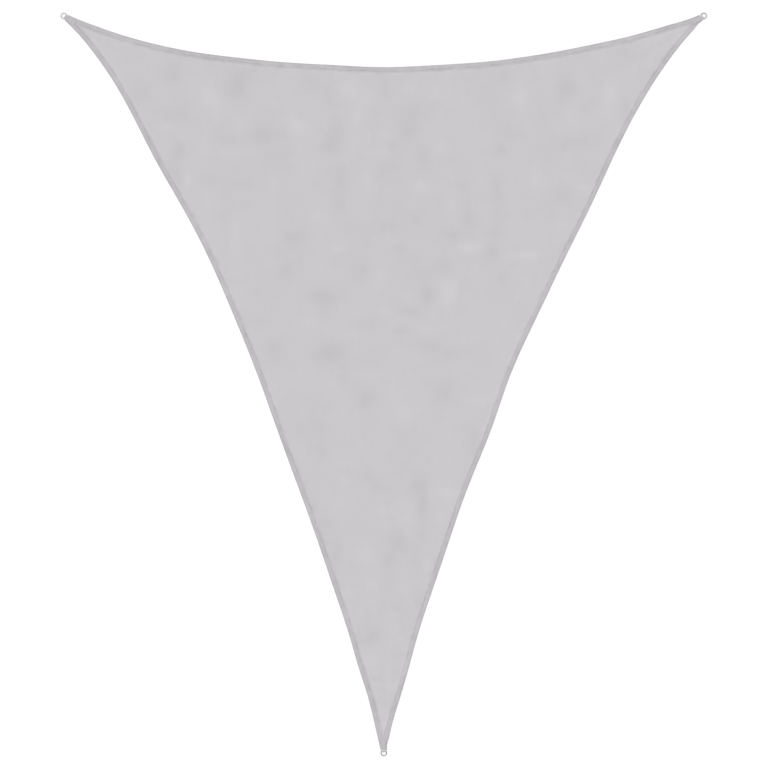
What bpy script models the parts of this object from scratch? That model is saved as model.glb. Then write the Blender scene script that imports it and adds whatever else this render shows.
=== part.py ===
"""A triangular shade sail of hemmed cloth with a webbing loop and a steel D-ring at each corner.

It lies flat, face up. Units are metres and +Z is up. The origin is on the surface under the middle
of the sail, the short edge is on the +Y side and the long tip points towards -Y.
"""

import math
from collections import namedtuple

import bmesh
import bpy
import numpy as np
from mathutils import Vector
from mathutils.geometry import delaunay_2d_cdt, intersect_line_line_2d

# ---- Driving dimensions ----

TOP_SPAN = 4.003  # between the far ends of the two upper rings
SAIL_DEPTH = 4.603  # from the upper rings' far ends to the lower ring's far end
UPPER_RING_RISE = math.radians(33.5)  # the upper rings point this far above the X axis

CLOTH_THICKNESS = 0.0012
HEM_WIDTH = 0.035
HEM_THICKNESS = 2 * CLOTH_THICKNESS
HEM_STEP = 0.001  # width of the step from the hem down to the single cloth
CLOTH_END_WIDTH = 0.040  # the cloth's blunt end at each corner
CLOTH_SETBACK = 0.0125  # from the loop's far end back to the cloth's end

STRAP_WIDTH = 0.025
STRAP_THICKNESS = 0.0015
STRAP_LEG = 0.072  # from the ring's bar to the end of each sewn leg
STRAP_CLOSING = 0.013  # length over which the upper leg comes down onto the cloth
FIT_GAP = 0.0003  # kept between pieces that touch

RING_WIRE = 0.006  # wire diameter
RING_EYE_WIDTH = 0.027
RING_EYE_DEPTH = 0.0225  # from the bar to the bow, inside
RING_BEND = 0.0040  # centreline radius of the two bends beside the bar

# How far each edge hollows in from the straight line between its two corners, in millimetres, at
# steps that shorten towards its ends. The edges run anticlockwise, seen from above: the left edge
# down to the tip, the right edge up from the tip, and the top edge from right to left.
END_BUNCHING = 0.6  # 0 would space the steps evenly; towards 1 they crowd at an edge's ends
EDGE_NAMES = ("left", "right", "top")
EDGE_SAG_MM = (
    # left, right, top
    (0, 0, 0),
    (40, 24, 31),
    (75, 42, 58),
    (108, 58, 91),
    (137, 81, 131),
    (156, 112, 171),
    (174, 136, 215),
    (208, 162, 258),
    (234, 187, 292),
    (235, 197, 312),
    (225, 223, 324),
    (201, 214, 311),
    (179, 200, 294),
    (157, 182, 267),
    (131, 174, 236),
    (108, 161, 196),
    (80, 137, 152),
    (62, 106, 109),
    (40, 73, 69),
    (19, 38, 35),
    (0, 0, 0),
)

# Towards both its ends the right edge draws in a little further, to a neck.
NECK_REACH = 0.095  # the neck's length along the edge
NECK_LEAN = 0.6  # below 1 the neck is deepest nearer to the corner
NECK_DEPTH = {"left": 0, "right": 0.005, "top": 0}

# ---- Sizes worked out from them ----

WIRE_RADIUS = RING_WIRE / 2
STRAP_INNER_RADIUS = WIRE_RADIUS + FIT_GAP  # of the fold round the ring's bar
STRAP_OUTER_RADIUS = STRAP_INNER_RADIUS + STRAP_THICKNESS
BAR_HEIGHT = STRAP_OUTER_RADIUS  # the fold touches the surface under the bar
CORNER_LIFT = STRAP_THICKNESS + FIT_GAP  # the cloth's underside over the lower leg
UPPER_LEG_HEIGHT = CORNER_LIFT + HEM_THICKNESS + FIT_GAP  # underside of the upper leg

RING_HALF_WIDTH = RING_EYE_WIDTH / 2 + WIRE_RADIUS  # centreline of the ring's sides
BOW_CENTRE = RING_EYE_DEPTH + WIRE_RADIUS - RING_EYE_WIDTH / 2  # from the bar's axis
RING_REACH = BOW_CENTRE + RING_HALF_WIDTH + WIRE_RADIUS  # from the bar's axis to the far end
RING_TILT = math.asin((BAR_HEIGHT - WIRE_RADIUS) / (BOW_CENTRE + RING_HALF_WIDTH))

LIFT_FULL = 0.085  # the cloth is still at its full corner lift this far from the loop's end
LIFT_FOOT = 0.200  # and is down on the surface from here on

# ---- Fineness ----

EDGE_STEPS = 100
LIFT_STEPS = 8
FOLD_STEPS = 10
CLOSING_STEPS = 6
BEND_STEPS = 4
BOW_STEPS = 15  # odd, so that one flat of the bow faces the bar
WIRE_SIDES = 12
MERGE_DISTANCE = 1e-6
SHARP_ANGLE = math.radians(40)

# ---- Finishes: linear colour, roughness, metallic ----

CLOTH_FINISH = ((0.585, 0.572, 0.585), 0.85, 0.0)
WEBBING_FINISH = ((0.520, 0.510, 0.520), 0.80, 0.0)
STEEL_FINISH = ((0.560, 0.555, 0.565), 0.30, 1.0)

Corner = namedtuple("Corner", "name out side bar loop_end cloth_end")


# ---- Small geometry helpers ----


def heading(angle):
    """The unit vector that points along angle."""
    return Vector((math.cos(angle), math.sin(angle)))


def left_of(direction):
    """The unit vector to the left of direction."""
    return Vector((-direction.y, direction.x)).normalized()


def smooth_step(share):
    """0 to 1 with level ends, for a share that may run past them."""
    share = min(max(share, 0), 1)
    return share * share * (3 - 2 * share)


# ---- Corners and edges, seen from above ----


def corner(name, ring_end, angle):
    """The points of a corner whose ring ends at ring_end and points along angle."""
    out = heading(angle)
    bar = ring_end - out * RING_REACH
    loop_end = bar + out * STRAP_OUTER_RADIUS
    cloth_end = loop_end - out * CLOTH_SETBACK
    return Corner(name, out, left_of(out), bar, loop_end, cloth_end)


def sail_corners():
    """Left, tip and right corner, placed so that the sail's box is centred on the origin."""
    bow_radius = RING_HALF_WIDTH + WIRE_RADIUS
    bow_overshoot = bow_radius * (1 - math.sin(UPPER_RING_RISE))
    tip_y = -(SAIL_DEPTH + bow_overshoot) / 2
    top_y = tip_y + SAIL_DEPTH
    return (
        corner("left", Vector((-TOP_SPAN / 2, top_y)), math.pi - UPPER_RING_RISE),
        corner("tip", Vector((0, tip_y)), -math.pi / 2),
        corner("right", Vector((TOP_SPAN / 2, top_y)), UPPER_RING_RISE),
    )


def spline_through(values):
    """A function of 0 to 1 that runs smoothly through evenly spaced values (a natural cubic)."""
    values = np.array(values, float)
    count = len(values)
    matrix = np.eye(count)
    bend = np.zeros(count)
    for i in range(1, count - 1):
        matrix[i, i - 1 : i + 2] = (1, 4, 1)
        bend[i] = 6 * (values[i - 1] - 2 * values[i] + values[i + 1])
    curvature = np.linalg.solve(matrix, bend)

    def value_at(share):
        i = min(int(share * (count - 1)), count - 2)
        b = share * (count - 1) - i
        a = 1 - b
        cubic = (a**3 - a) * curvature[i] + (b**3 - b) * curvature[i + 1]
        return a * values[i] + b * values[i + 1] + cubic / 6

    return value_at


def neck(distance):
    """How deep a neck is, 0 to 1, at a distance from the edge's end."""
    share = min(distance / NECK_REACH, 1)
    return math.sin(math.pi * share**NECK_LEAN) ** 2


def hollow_edge(start, end, sag_mm, neck_depth):
    """Points from start to end, closer towards the two, along a curve that hollows in to the left
    of that direction."""
    sag = spline_through(sag_mm)
    along = end - start
    points = []
    for i in range(EDGE_STEPS + 1):
        even = i / EDGE_STEPS
        share = even - END_BUNCHING * math.sin(math.tau * even) / math.tau
        from_end = along.length * min(share, 1 - share)
        depth = sag(even) / 1000 + neck_depth * neck(from_end)
        points.append(start + along * share + left_of(along) * depth)
    return points


def sail_edges(corners):
    """The cloth's three hollow edges, each between the blunt ends of two corners."""
    sags = dict(zip(EDGE_NAMES, zip(*EDGE_SAG_MM)))
    half_end = CLOTH_END_WIDTH / 2
    edges = []
    for i, name in enumerate(EDGE_NAMES):
        start, end = corners[i], corners[(i + 1) % len(corners)]
        first = start.cloth_end + start.side * half_end
        last = end.cloth_end - end.side * half_end
        edges.append(hollow_edge(first, last, sags[name], NECK_DEPTH[name]))
    return edges


def inset(points, distance):
    """The line of points moved to its left by distance."""
    moved = []
    last = len(points) - 1
    for i, point in enumerate(points):
        along = points[min(i + 1, last)] - points[max(i - 1, 0)]
        moved.append(point + left_of(along) * distance)
    return moved


def crossing(first, second):
    """Where line first meets line second: the segment's number in each, and the point."""
    for i in range(len(first) - 1, 0, -1):
        for j in range(len(second) - 1):
            point = intersect_line_line_2d(first[i - 1], first[i], second[j], second[j + 1])
            if point is not None:
                return i - 1, j, point
    raise ValueError("the hem lines do not meet at a corner")


def inner_loop(edges, distance):
    """The closed line that lies distance inside the edges, mitred where two of them meet."""
    lines = [inset(edge, distance) for edge in edges]
    meets = [crossing(lines[i], lines[(i + 1) % len(lines)]) for i in range(len(lines))]
    loop = []
    for i, line in enumerate(lines):
        first = meets[i - 1][1] + 1
        last = meets[i][0]
        loop += line[first : last + 1] + [meets[i][2]]
    return loop


def cloth_height(point, corners):
    """The cloth's underside: it rises over the loops' lower legs and lies flat elsewhere."""
    reach = min((point - c.loop_end).length for c in corners)
    return CORNER_LIFT * smooth_step((LIFT_FOOT - reach) / (LIFT_FOOT - LIFT_FULL))


def lift_points(corners, step_foot):
    """Points down the middle of the panel's corners, where the cloth comes down to the surface."""
    points = []
    for c in corners:
        meet = min(step_foot, key=lambda point: (point - c.loop_end).length)
        inward = (meet - c.cloth_end).normalized()
        stretch = LIFT_FOOT - (meet - c.loop_end).length
        points += [meet + inward * stretch * i / LIFT_STEPS for i in range(1, LIFT_STEPS + 1)]
    return points


# ---- Scene helpers ----


def clear_scene():
    for obj in list(bpy.data.objects):
        bpy.data.objects.remove(obj, do_unlink=True)


def material(name, colour, roughness, metallic):
    made = bpy.data.materials.new(name)
    made.use_nodes = True
    shader = made.node_tree.nodes["Principled BSDF"]
    shader.inputs["Base Color"].default_value = (*colour, 1)
    shader.inputs["Roughness"].default_value = roughness
    shader.inputs["Metallic"].default_value = metallic
    return made


def add_object(name, data, collection, finish=None, parent=None):
    obj = bpy.data.objects.new(name, data)
    collection.objects.link(obj)
    obj.parent = parent
    if finish is not None:
        data.materials.append(finish)
    return obj


def add_corner_empty(c, collection):
    """An empty on the surface under the ring's bar, its X axis pointing out of the corner."""
    empty = add_object(f"corner_{c.name}", None, collection)
    empty.location = (c.bar.x, c.bar.y, 0)
    empty.rotation_euler.z = math.atan2(c.out.y, c.out.x)
    return empty


# ---- Pieces ----


def cloth_sheet(corners):
    """The cloth's underside as vertices and triangles, and the numbers of its doubled vertices."""
    edges = sail_edges(corners)
    outline = [point for edge in edges for point in edge]
    hem_line = inner_loop(edges, HEM_WIDTH)
    step_foot = inner_loop(edges, HEM_WIDTH + HEM_STEP)

    points, lines = [], []
    for loop in (outline, hem_line, step_foot):
        first = len(points)
        count = len(loop)
        points += loop
        lines += [(first + i, first + (i + 1) % count) for i in range(count)]
    points += lift_points(corners, step_foot)
    found, _, triangles, sources, _, faces_of = delaunay_2d_cdt(
        points, lines, [range(len(outline))], 0, MERGE_DISTANCE, True
    )
    doubled_count = len(outline) + len(hem_line)
    doubled = [i for i, source in enumerate(sources) if min(source) < doubled_count]
    vertices = [(point.x, point.y, cloth_height(point, corners)) for point in found]
    inside = [triangle for triangle, faces in zip(triangles, faces_of) if faces]
    return vertices, inside, doubled


def add_cloth(corners, collection, finish):
    """The hemmed panel: its underside thickened upwards, twice as much within the hem."""
    vertices, triangles, doubled = cloth_sheet(corners)
    mesh = bpy.data.meshes.new("sail_cloth")
    mesh.from_pydata(vertices, [], triangles)
    sail = add_object("sail_cloth", mesh, collection, finish)
    hem = sail.vertex_groups.new(name="hem")
    hem.add(doubled, 1.0, "REPLACE")
    thicken = sail.modifiers.new("thickness", "SOLIDIFY")
    thicken.thickness = HEM_THICKNESS
    thicken.offset = 1
    thicken.vertex_group = hem.name
    thicken.thickness_vertex_group = CLOTH_THICKNESS / HEM_THICKNESS
    return sail


def strap_path():
    """The strap's middle line, seen from its side: out from the bar, and up."""
    half = STRAP_THICKNESS / 2
    fold_radius = STRAP_INNER_RADIUS + half
    bar_axis = Vector((0, BAR_HEIGHT))
    path = [Vector((-STRAP_LEG, half))]
    for i in range(FOLD_STEPS + 1):
        path.append(bar_axis + heading(math.pi * (i / FOLD_STEPS - 0.5)) * fold_radius)
    high = path[-1].y
    low = UPPER_LEG_HEIGHT + half
    for i in range(1, CLOSING_STEPS + 1):
        share = i / CLOSING_STEPS
        path.append(Vector((-STRAP_CLOSING * share, high + (low - high) * smooth_step(share))))
    path.append(Vector((-STRAP_LEG, low)))
    return path


def add_loop(c, collection, finish, parent):
    """A strap folded round the bar: its side line extruded to its width, then thickened."""
    sheet = bmesh.new()
    line = [sheet.verts.new((p.x, -STRAP_WIDTH / 2, p.y)) for p in strap_path()]
    edges = [sheet.edges.new(pair) for pair in zip(line, line[1:])]
    grown = bmesh.ops.extrude_edge_only(sheet, edges=edges)["geom"]
    bmesh.ops.translate(
        sheet,
        verts=[item for item in grown if isinstance(item, bmesh.types.BMVert)],
        vec=(0, STRAP_WIDTH, 0),
    )
    mesh = bpy.data.meshes.new(f"loop_{c.name}")
    sheet.to_mesh(mesh)
    sheet.free()
    loop = add_object(f"loop_{c.name}", mesh, collection, finish, parent)
    thicken = loop.modifiers.new("thickness", "SOLIDIFY")
    thicken.thickness = STRAP_THICKNESS
    thicken.offset = 0
    thicken.use_even_offset = True
    mesh.shade_smooth()
    mesh.set_sharp_from_angle(angle=SHARP_ANGLE)
    return loop


def ring_path():
    """The ring's centreline: the bar along Y at X = 0, and the bow out along +X."""
    bend_centre = Vector((RING_BEND, RING_HALF_WIDTH - RING_BEND))
    bend = [
        bend_centre + heading(math.pi * (1 - i / BEND_STEPS / 2)) * RING_BEND
        for i in range(BEND_STEPS + 1)
    ]
    bow = [
        Vector((BOW_CENTRE, 0)) + heading(math.pi * (0.5 - i / BOW_STEPS)) * RING_HALF_WIDTH
        for i in range(BOW_STEPS + 1)
    ]
    return bend + bow + [Vector((point.x, -point.y)) for point in reversed(bend)]


def add_ring(c, collection, finish, parent):
    """A D-ring of round wire, its bar in the loop's fold and its bow resting on the surface."""
    curve = bpy.data.curves.new(f"ring_{c.name}", "CURVE")
    curve.dimensions = "3D"
    curve.bevel_depth = WIRE_RADIUS
    curve.bevel_resolution = (WIRE_SIDES - 4) // 2
    spline = curve.splines.new("POLY")
    path = ring_path()
    spline.points.add(len(path) - 1)
    for point, place in zip(spline.points, path):
        point.co = (place.x, place.y, 0, 1)
        point.tilt = math.pi / WIRE_SIDES
    spline.use_cyclic_u = True
    spline.use_smooth = True
    ring = add_object(f"ring_{c.name}", curve, collection, finish, parent)
    ring.location.z = BAR_HEIGHT
    ring.rotation_euler.y = RING_TILT
    return ring


def main():
    clear_scene()
    collection = bpy.data.collections.new("shade_sail")
    bpy.context.scene.collection.children.link(collection)
    cloth = material("grey_cloth", *CLOTH_FINISH)
    webbing = material("grey_webbing", *WEBBING_FINISH)
    steel = material("ring_steel", *STEEL_FINISH)

    corners = sail_corners()
    add_cloth(corners, collection, cloth)
    for c in corners:
        empty = add_corner_empty(c, collection)
        add_loop(c, collection, webbing, empty)
        add_ring(c, collection, steel, empty)


main()
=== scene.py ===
"""The looks of a triangular shade sail: hemmed grey cloth with a webbing loop and a steel D-ring at
each corner, lying face up on a pale floor. Units are metres, and +Z is up.
"""

import math
from collections import namedtuple

import bpy
import numpy as np
from mathutils import Matrix
from mathutils.geometry import delaunay_2d_cdt


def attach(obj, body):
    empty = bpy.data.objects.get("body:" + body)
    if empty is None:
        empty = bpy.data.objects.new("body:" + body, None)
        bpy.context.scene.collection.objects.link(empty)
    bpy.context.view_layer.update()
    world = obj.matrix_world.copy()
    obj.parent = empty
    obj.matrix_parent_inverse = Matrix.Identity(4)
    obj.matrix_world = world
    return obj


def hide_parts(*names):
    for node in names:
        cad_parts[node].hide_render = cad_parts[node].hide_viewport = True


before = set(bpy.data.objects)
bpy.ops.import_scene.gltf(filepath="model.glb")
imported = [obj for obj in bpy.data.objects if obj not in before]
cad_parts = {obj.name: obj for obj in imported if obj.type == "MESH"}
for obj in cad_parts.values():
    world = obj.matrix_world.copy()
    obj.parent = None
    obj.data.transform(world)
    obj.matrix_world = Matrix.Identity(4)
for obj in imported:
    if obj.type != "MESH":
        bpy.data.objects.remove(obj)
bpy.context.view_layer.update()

# ---- Sizes of the sail, the same as in its solids ----

TOP_SPAN = 4.003  # between the far ends of the two upper rings
SAIL_DEPTH = 4.603  # from the upper rings' far ends to the lower ring's far end
UPPER_RING_RISE = math.radians(33.5)

HEM_WIDTH = 0.035
HEM_THICKNESS = 0.0024
CLOTH_END_WIDTH = 0.040
CLOTH_SETBACK = 0.0125

STRAP_WIDTH = 0.025
STRAP_THICKNESS = 0.0015
STRAP_LEG = 0.072
STRAP_CLOSING = 0.013
FIT_GAP = 0.0003

RING_WIRE = 0.006
RING_EYE_WIDTH = 0.027
RING_EYE_DEPTH = 0.0225
RING_BEND = 0.0040

# How far each long edge hollows in, at steps that shorten towards its ends.
END_BUNCHING = 0.6
EDGE_SAG_MM = {
    "left": (
        0, 40, 75, 108, 137, 156, 174, 208, 234, 235, 225, 201, 179, 157, 131, 108, 80, 62, 40, 19, 0,
    ),
    "right": (
        0, 24, 42, 58, 81, 112, 136, 162, 187, 197, 223, 214, 200, 182, 174, 161, 137, 106, 73, 38, 0,
    ),
    "top": (
        0, 31, 58, 91, 131, 171, 215, 258, 292, 312, 324, 311, 294, 267, 236, 196, 152, 109, 69, 35, 0,
    ),
}  # fmt: skip

# Towards both its ends the right edge draws in a little further, to a neck.
NECK_REACH = 0.095
NECK_LEAN = 0.6  # below 1, the neck is deepest nearer to the end
NECK_DEPTH = {"left": 0, "right": 0.005, "top": 0}

WIRE_RADIUS = RING_WIRE / 2
STRAP_INNER_RADIUS = WIRE_RADIUS + FIT_GAP
STRAP_OUTER_RADIUS = STRAP_INNER_RADIUS + STRAP_THICKNESS
BAR_HEIGHT = STRAP_OUTER_RADIUS
CORNER_LIFT = STRAP_THICKNESS + FIT_GAP
UPPER_LEG_HEIGHT = CORNER_LIFT + HEM_THICKNESS + FIT_GAP
RING_HALF_WIDTH = RING_EYE_WIDTH / 2 + WIRE_RADIUS
BOW_CENTRE = RING_EYE_DEPTH + WIRE_RADIUS - RING_EYE_WIDTH / 2
RING_REACH = BOW_CENTRE + RING_HALF_WIDTH + WIRE_RADIUS
RING_TILT = math.asin((BAR_HEIGHT - WIRE_RADIUS) / (BOW_CENTRE + RING_HALF_WIDTH))
LIFT_FULL = 0.085  # from a loop's far end, where the corner starts to come down off the strap
LIFT_FOOT = 0.200  # and where it has come down

# ---- Sizes of the fine forms ----

CLOTH_LAYER = 0.0011  # one layer of cloth
HEM_LAYER = 0.0007  # what the turned layer adds
HEM_STEP = 0.0035  # over which the hem's inner edge slopes down to the panel
HEM_FOOT = HEM_WIDTH + HEM_STEP
LAP_LAYER = 0.0003  # what a second hem adds where two lap, pressed flat
LEAST_LIFT = 0.0014  # of the panel's middle height over the floor, so that troughs have depth
LEAST_THICKNESS = 0.0006  # of the cloth under a row of stitches
TROUGH_ROUNDING = 0.0003  # how softly a trough comes to rest on the floor
CALM_SPAN = 0.07  # over which the waves grow, from where the corner's lift ends
EDGE_WAVES = 0.45  # the share of the panel's waves that is left at its edges
EDGE_WAVES_SPAN = 0.12
RIM_RADIUS = 0.0011  # rounding of the cloth's outer edge

OUTER_ROW = 0.0045  # the two rows of stitches, inside the edge
INNER_ROW = 0.0275
ROW_GROOVE = 0.00030
ROW_GROOVE_WIDTH = 0.0012
FOLD_RIDGE_MM = 0.16  # height of the ridge along the hem's outer fold
FOLD_RIDGE_PLACE = 0.0022
FOLD_RIDGE_WIDTH = 0.0014
SWELL_MM = 0.42  # mean height of the hem's swelling between its rows
PUCKER_FADE = 0.016  # how far past the inner row the pucker and the waves fade into the panel
WAVES_FADE = 0.040
PULL_GROWTH = 0.2  # the share of a pull's length over which it grows, and fades
PULL_FADE = 0.7
PULL_SPREAD = (0.7, 1.8)  # a pull's half width at its start and end, as a share of its row's

FOLD_SHADE_MEAN = 0.5
ROW_SHADE_MEAN = 0.52
# Painted shade: a hem's doubled cloth, and more where two hems lap, is drawn darker as it lets less
# light through, fading out softly just past the hem's step.
HEM_SHADE = 0.104  # how much darker the doubled cloth is
HEM_SHADE_EDGE = 0.0398  # inside the edge, where that has faded out
HEM_SHADE_SPAN = 0.013
STREAK_EDGE = 0.062  # the same for a hem's streaks and marks
STREAK_SPAN = 0.034
LAP_SHADE = 0.02  # how much darker still a second hem makes it
PANEL_TONE_FADE = 0.6  # how much of the panel's mottling a hem hides
# The lines along a hem are painted shade along its fold and in its sunken inner row of stitches, and a
# painted shadow along its inner step.
FOLD_LINE = (0.075, 0.0036)  # darkness and half width of the lines along a hem
ROW_LINE = (0.110, 0.0032)
STEP_LINE = (0.021, 0.003)
FOOT_LINE = (0.115, 0.0007)
FOOT_LINE_PLACE = HEM_WIDTH + 0.4 * HEM_STEP

STATION = 0.0065  # between points along the hems
GRID = 0.019  # between points of the panel
UNDER_GRID = 0.032  # between points of the underside
HEM_COLUMNS_MM = (
    0.3, 0.8, 1.6, 3.0, 3.8, 4.5, 5.2, 6.6, 9, 13, 17, 21, 24.5, 26.0, 27.0, 28.0, 29.0,
    31, 33.6, 34.8, 35.6, 36.4, 37.2, 38.0, 39.2, 42, 46, 53, 62,
)  # fmt: skip
UNDER_COLUMNS_MM = (0.4, 1.1, 12, 30)
RIM_COLUMNS_MM = (0.3, 0.8, 1.6)  # across the blunt ends
RIM_BAND = 0.0022  # along each side, left to its own rim columns
COLUMN_GAP = 0.0005  # between an upper hem's foot and the columns it covers

STITCH_PITCH = 0.0046
STITCH_LENGTH = 0.0039
STITCH_ARCH = 0.00038  # how far a stitch's middle rises over its ends
ROW_END_GAP = 0.003  # between a row of stitches and the side it runs up to
STRAP_SEW_CLEARANCE = 0.001  # between the rows of stitches and a strap over them
THREAD_RADIUS = 0.00032
THREAD_SIDES = 6
THREAD_RINGS = ((0.10, 0.80), (0.36, 1.0), (0.64, 1.0), (0.90, 0.80))  # place, thickness
THREAD_SINK = 0.5  # of the radius, from where a stitch leaves the cloth down to its point

STRAP_EDGE_RADIUS = 0.0006
STRAP_EDGE_TURNS = (12, 40, 66)  # degrees round the strap's edge at which it has points
STRAP_EDGE_SHARE = 0.25  # the edge's thickness as a share of the strap's
STRAP_CUT_SPAN = 0.0008  # over which a leg thins to its cut end
STRAP_CUT_SHARE = 0.65  # the cut end's thickness as a share of the strap's
STRAP_SEW_PITCH = 0.0036
STRAP_SEW_LENGTH = 0.0031
STRAP_SEW_ARCH = 0.0003
STRAP_THREAD_RADIUS = 0.00036
STRAP_DIP = 0.00022  # how far the stitches pull the webbing down
STRAP_DIP_WIDTH = 0.0010
STRAP_BEAD = 0.00008  # height of the ridge along the webbing's edges
STRAP_BEAD_INSET = 0.0012
STRAP_BEAD_WIDTH = 0.0009
STRAP_ACROSS_POINTS = 29
STRAP_WEAVE_SHIFT = 0.37  # from one strap's place in the weave to the next one's
STRAP_PATH_POINTS = {"lower": 40, "turn": 30, "closing": 14, "upper": 60}
BOX_NEAR = -0.023  # the sewn box with its cross, measured out from the ring's bar
BOX_FAR = -0.068
BOX_HALF_WIDTH = 0.0096
TACK_PLACES = (-0.0175, -0.0195)  # the two rows of the tack beside the bar

RING_SIDES = 28
RING_PATH_POINTS = {"bend": 9, "side": 5, "bow": 37, "bar": 9}
WEAVE_PITCH = 0.0007  # of the cloth's plain weave
RIB_PITCH = 0.0016  # of the webbing
PICK_PITCH = 0.0014
PICK_SLANT = 0.0007  # between the picks of neighbouring ribs

CLOTH_COLOUR = (0.537, 0.520, 0.538)
WEBBING_COLOUR = (0.520, 0.510, 0.520)
THREAD_COLOUR = (0.470, 0.460, 0.472)
STEEL_COLOUR = (0.385, 0.380, 0.390)
FLOOR_COLOUR = (0.35, 0.349, 0.35)

FLOOR_GLOW = 0.63
FLOOR_HALF_WIDTH = 250
FLOOR_HEIGHT = -0.0002  # just under the sail, so that the two never share a plane
ROOM_COLOUR = (1, 0.995, 1, 1)
ROOM_AT_HORIZON = 1.00
ROOM_OVERHEAD = 0.42
SUN_STRENGTH = 1.85
SUN_WIDTH = math.radians(24)
SUN_TURN = math.radians(135)  # towards the upper left of the picture
SUN_TILT = math.radians(32)  # from straight overhead
LENS_MM = 100
SENSOR_MM = 36
FRAME_WIDTH = 4.764  # what the photograph's width takes in at the sail
FRAME_CENTRE = (0.0014, 0.0028)

Corner = namedtuple("Corner", "name out side bar loop_end cloth_end")

# Random fields, each a row of (strength, size of its bumps along and across in m, seed). The
# reliefs' strengths are in mm, and the tones' are shares. The hems' seeds are added to their own.
WAVES = (
    (1.0, 0.21, 0.37, 21),
    (0.8, 0.43, 0.17, 22),
    (0.45, 0.085, 0.14, 25),
    (0.20, 0.060, 0.095, 23),
    (0.16, 0.090, 0.045, 24),
)
CREASE_WANDER_X = ((0.035, 0.31, 0.23, 11),)
CREASE_WANDER_Y = ((0.035, 0.27, 0.29, 12),)
PANEL_TONES = ((0.012, 0.10, 0.19, 31), (0.009, 0.17, 0.07, 32), (0.009, 0.052, 0.070, 33))
HEM_SWELL = ((0.24, 0.034, 0.05, 0), (0.20, 0.085, 0.05, 1))
HEM_PUCKER = ((0.20, 0.014, 0.030, 2), (0.38, 0.033, 0.024, 3))
HEM_WAVES = ((0.80, 0.12, 0.09, 4),)
HEM_STREAKS = ((0.042, 0.022, 0.020, 0), (0.040, 0.055, 0.014, 1), (0.030, 0.24, 0.030, 4))
FOLD_SHADES = ((0.5, 0.075, 1, 2),)
ROW_SHADES = ((0.55, 0.085, 1, 3), (0.60, 0.028, 1, 5))
ROW_WANDER = ((0.0026, 0.16, 1, 60),)  # how far the inner row of stitches strays, in m
RELIEF_SEEDS = {"top": 40, "right": 50, "left": 60}
TONE_SEEDS = {"top": 70, "right": 80, "left": 90}

# Soft creases of the panel, one by one: middle (m), heading (degrees from +X), half length and
# half width (m), and height (mm; a trough is below 0).
CREASES = (
    (-1.10, 1.66, 88, 0.30, 0.050, 2.0),
    (-0.98, 1.05, 92, 0.34, 0.048, 2.0),
    (-0.82, 1.60, 85, 0.26, 0.045, -1.8),
    (-0.52, 1.52, 90, 0.32, 0.055, 1.5),
    (-0.26, 1.50, 91, 0.36, 0.040, -2.0),
    (-0.14, 1.62, 89, 0.30, 0.045, 1.8),
    (0.10, 1.55, 94, 0.30, 0.070, -2.2),
    (0.42, 1.60, 88, 0.26, 0.070, 1.8),
    (0.76, 1.10, 91, 0.30, 0.038, -2.2),
    (0.88, 1.62, 87, 0.28, 0.045, 2.0),
    (1.14, 1.38, 80, 0.28, 0.050, -1.8),
    (1.30, 1.78, 70, 0.22, 0.040, 1.5),
    (-1.42, 1.74, 105, 0.20, 0.045, -1.5),
    (-0.62, 0.74, 97, 0.22, 0.040, -1.8),
    (-0.34, 0.62, 20, 0.20, 0.035, 1.5),
    (0.46, 0.62, 84, 0.20, 0.040, 2.2),
    (0.60, 0.84, 4, 0.42, 0.030, 1.5),
    (0.10, 0.50, -28, 0.24, 0.035, -1.8),
    (-0.40, 0.16, 24, 0.22, 0.040, -1.8),
    (-0.05, 0.36, -32, 0.26, 0.030, 1.3),
    (0.34, 0.26, -20, 0.22, 0.045, 1.5),
    (-0.20, -0.22, 88, 0.30, 0.060, 1.8),
    (-0.50, -0.26, 112, 0.24, 0.040, -1.5),
    (0.10, -0.56, 60, 0.24, 0.060, -2.2),
    (0.22, -0.62, 78, 0.22, 0.035, 1.5),
    (-0.26, -0.84, 100, 0.28, 0.050, 1.8),
    (0.10, -1.02, 80, 0.24, 0.045, -1.8),
    (-0.08, -1.48, 96, 0.22, 0.035, -1.8),
    (0.04, -1.62, 84, 0.26, 0.028, 1.5),
    (-0.02, -1.84, 8, 0.08, 0.016, 1.8),
    (0.00, 0.90, 2, 0.60, 0.028, -1.1),
    (0.70, 1.45, -3, 0.50, 0.026, 1.1),
    (-0.60, 1.46, 4, 0.46, 0.026, 1.1),
)  # fmt: skip

# Pulls that run from a corner into the panel: corner, turn from the corner's own line (degrees),
# where the pull starts and ends (m from the loop), half width (m) and height (mm).
PULLS = (
    ("left", -11, 0.13, 0.75, 0.014, 1.6),
    ("left", -4, 0.15, 0.95, 0.016, -1.3),
    ("left", 3, 0.16, 0.80, 0.015, 1.4),
    ("left", 10, 0.13, 0.60, 0.013, -1.1),
    ("right", -12, 0.13, 0.70, 0.013, -1.1),
    ("right", -5, 0.15, 0.90, 0.016, 1.4),
    ("right", 2, 0.17, 0.75, 0.014, -1.3),
    ("right", 9, 0.14, 0.65, 0.015, 1.4),
    ("tip", -7, 0.14, 0.80, 0.012, 1.4),
    ("tip", -1, 0.16, 1.00, 0.014, -1.3),
    ("tip", 5, 0.15, 0.70, 0.012, 1.3),
)  # fmt: skip
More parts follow.
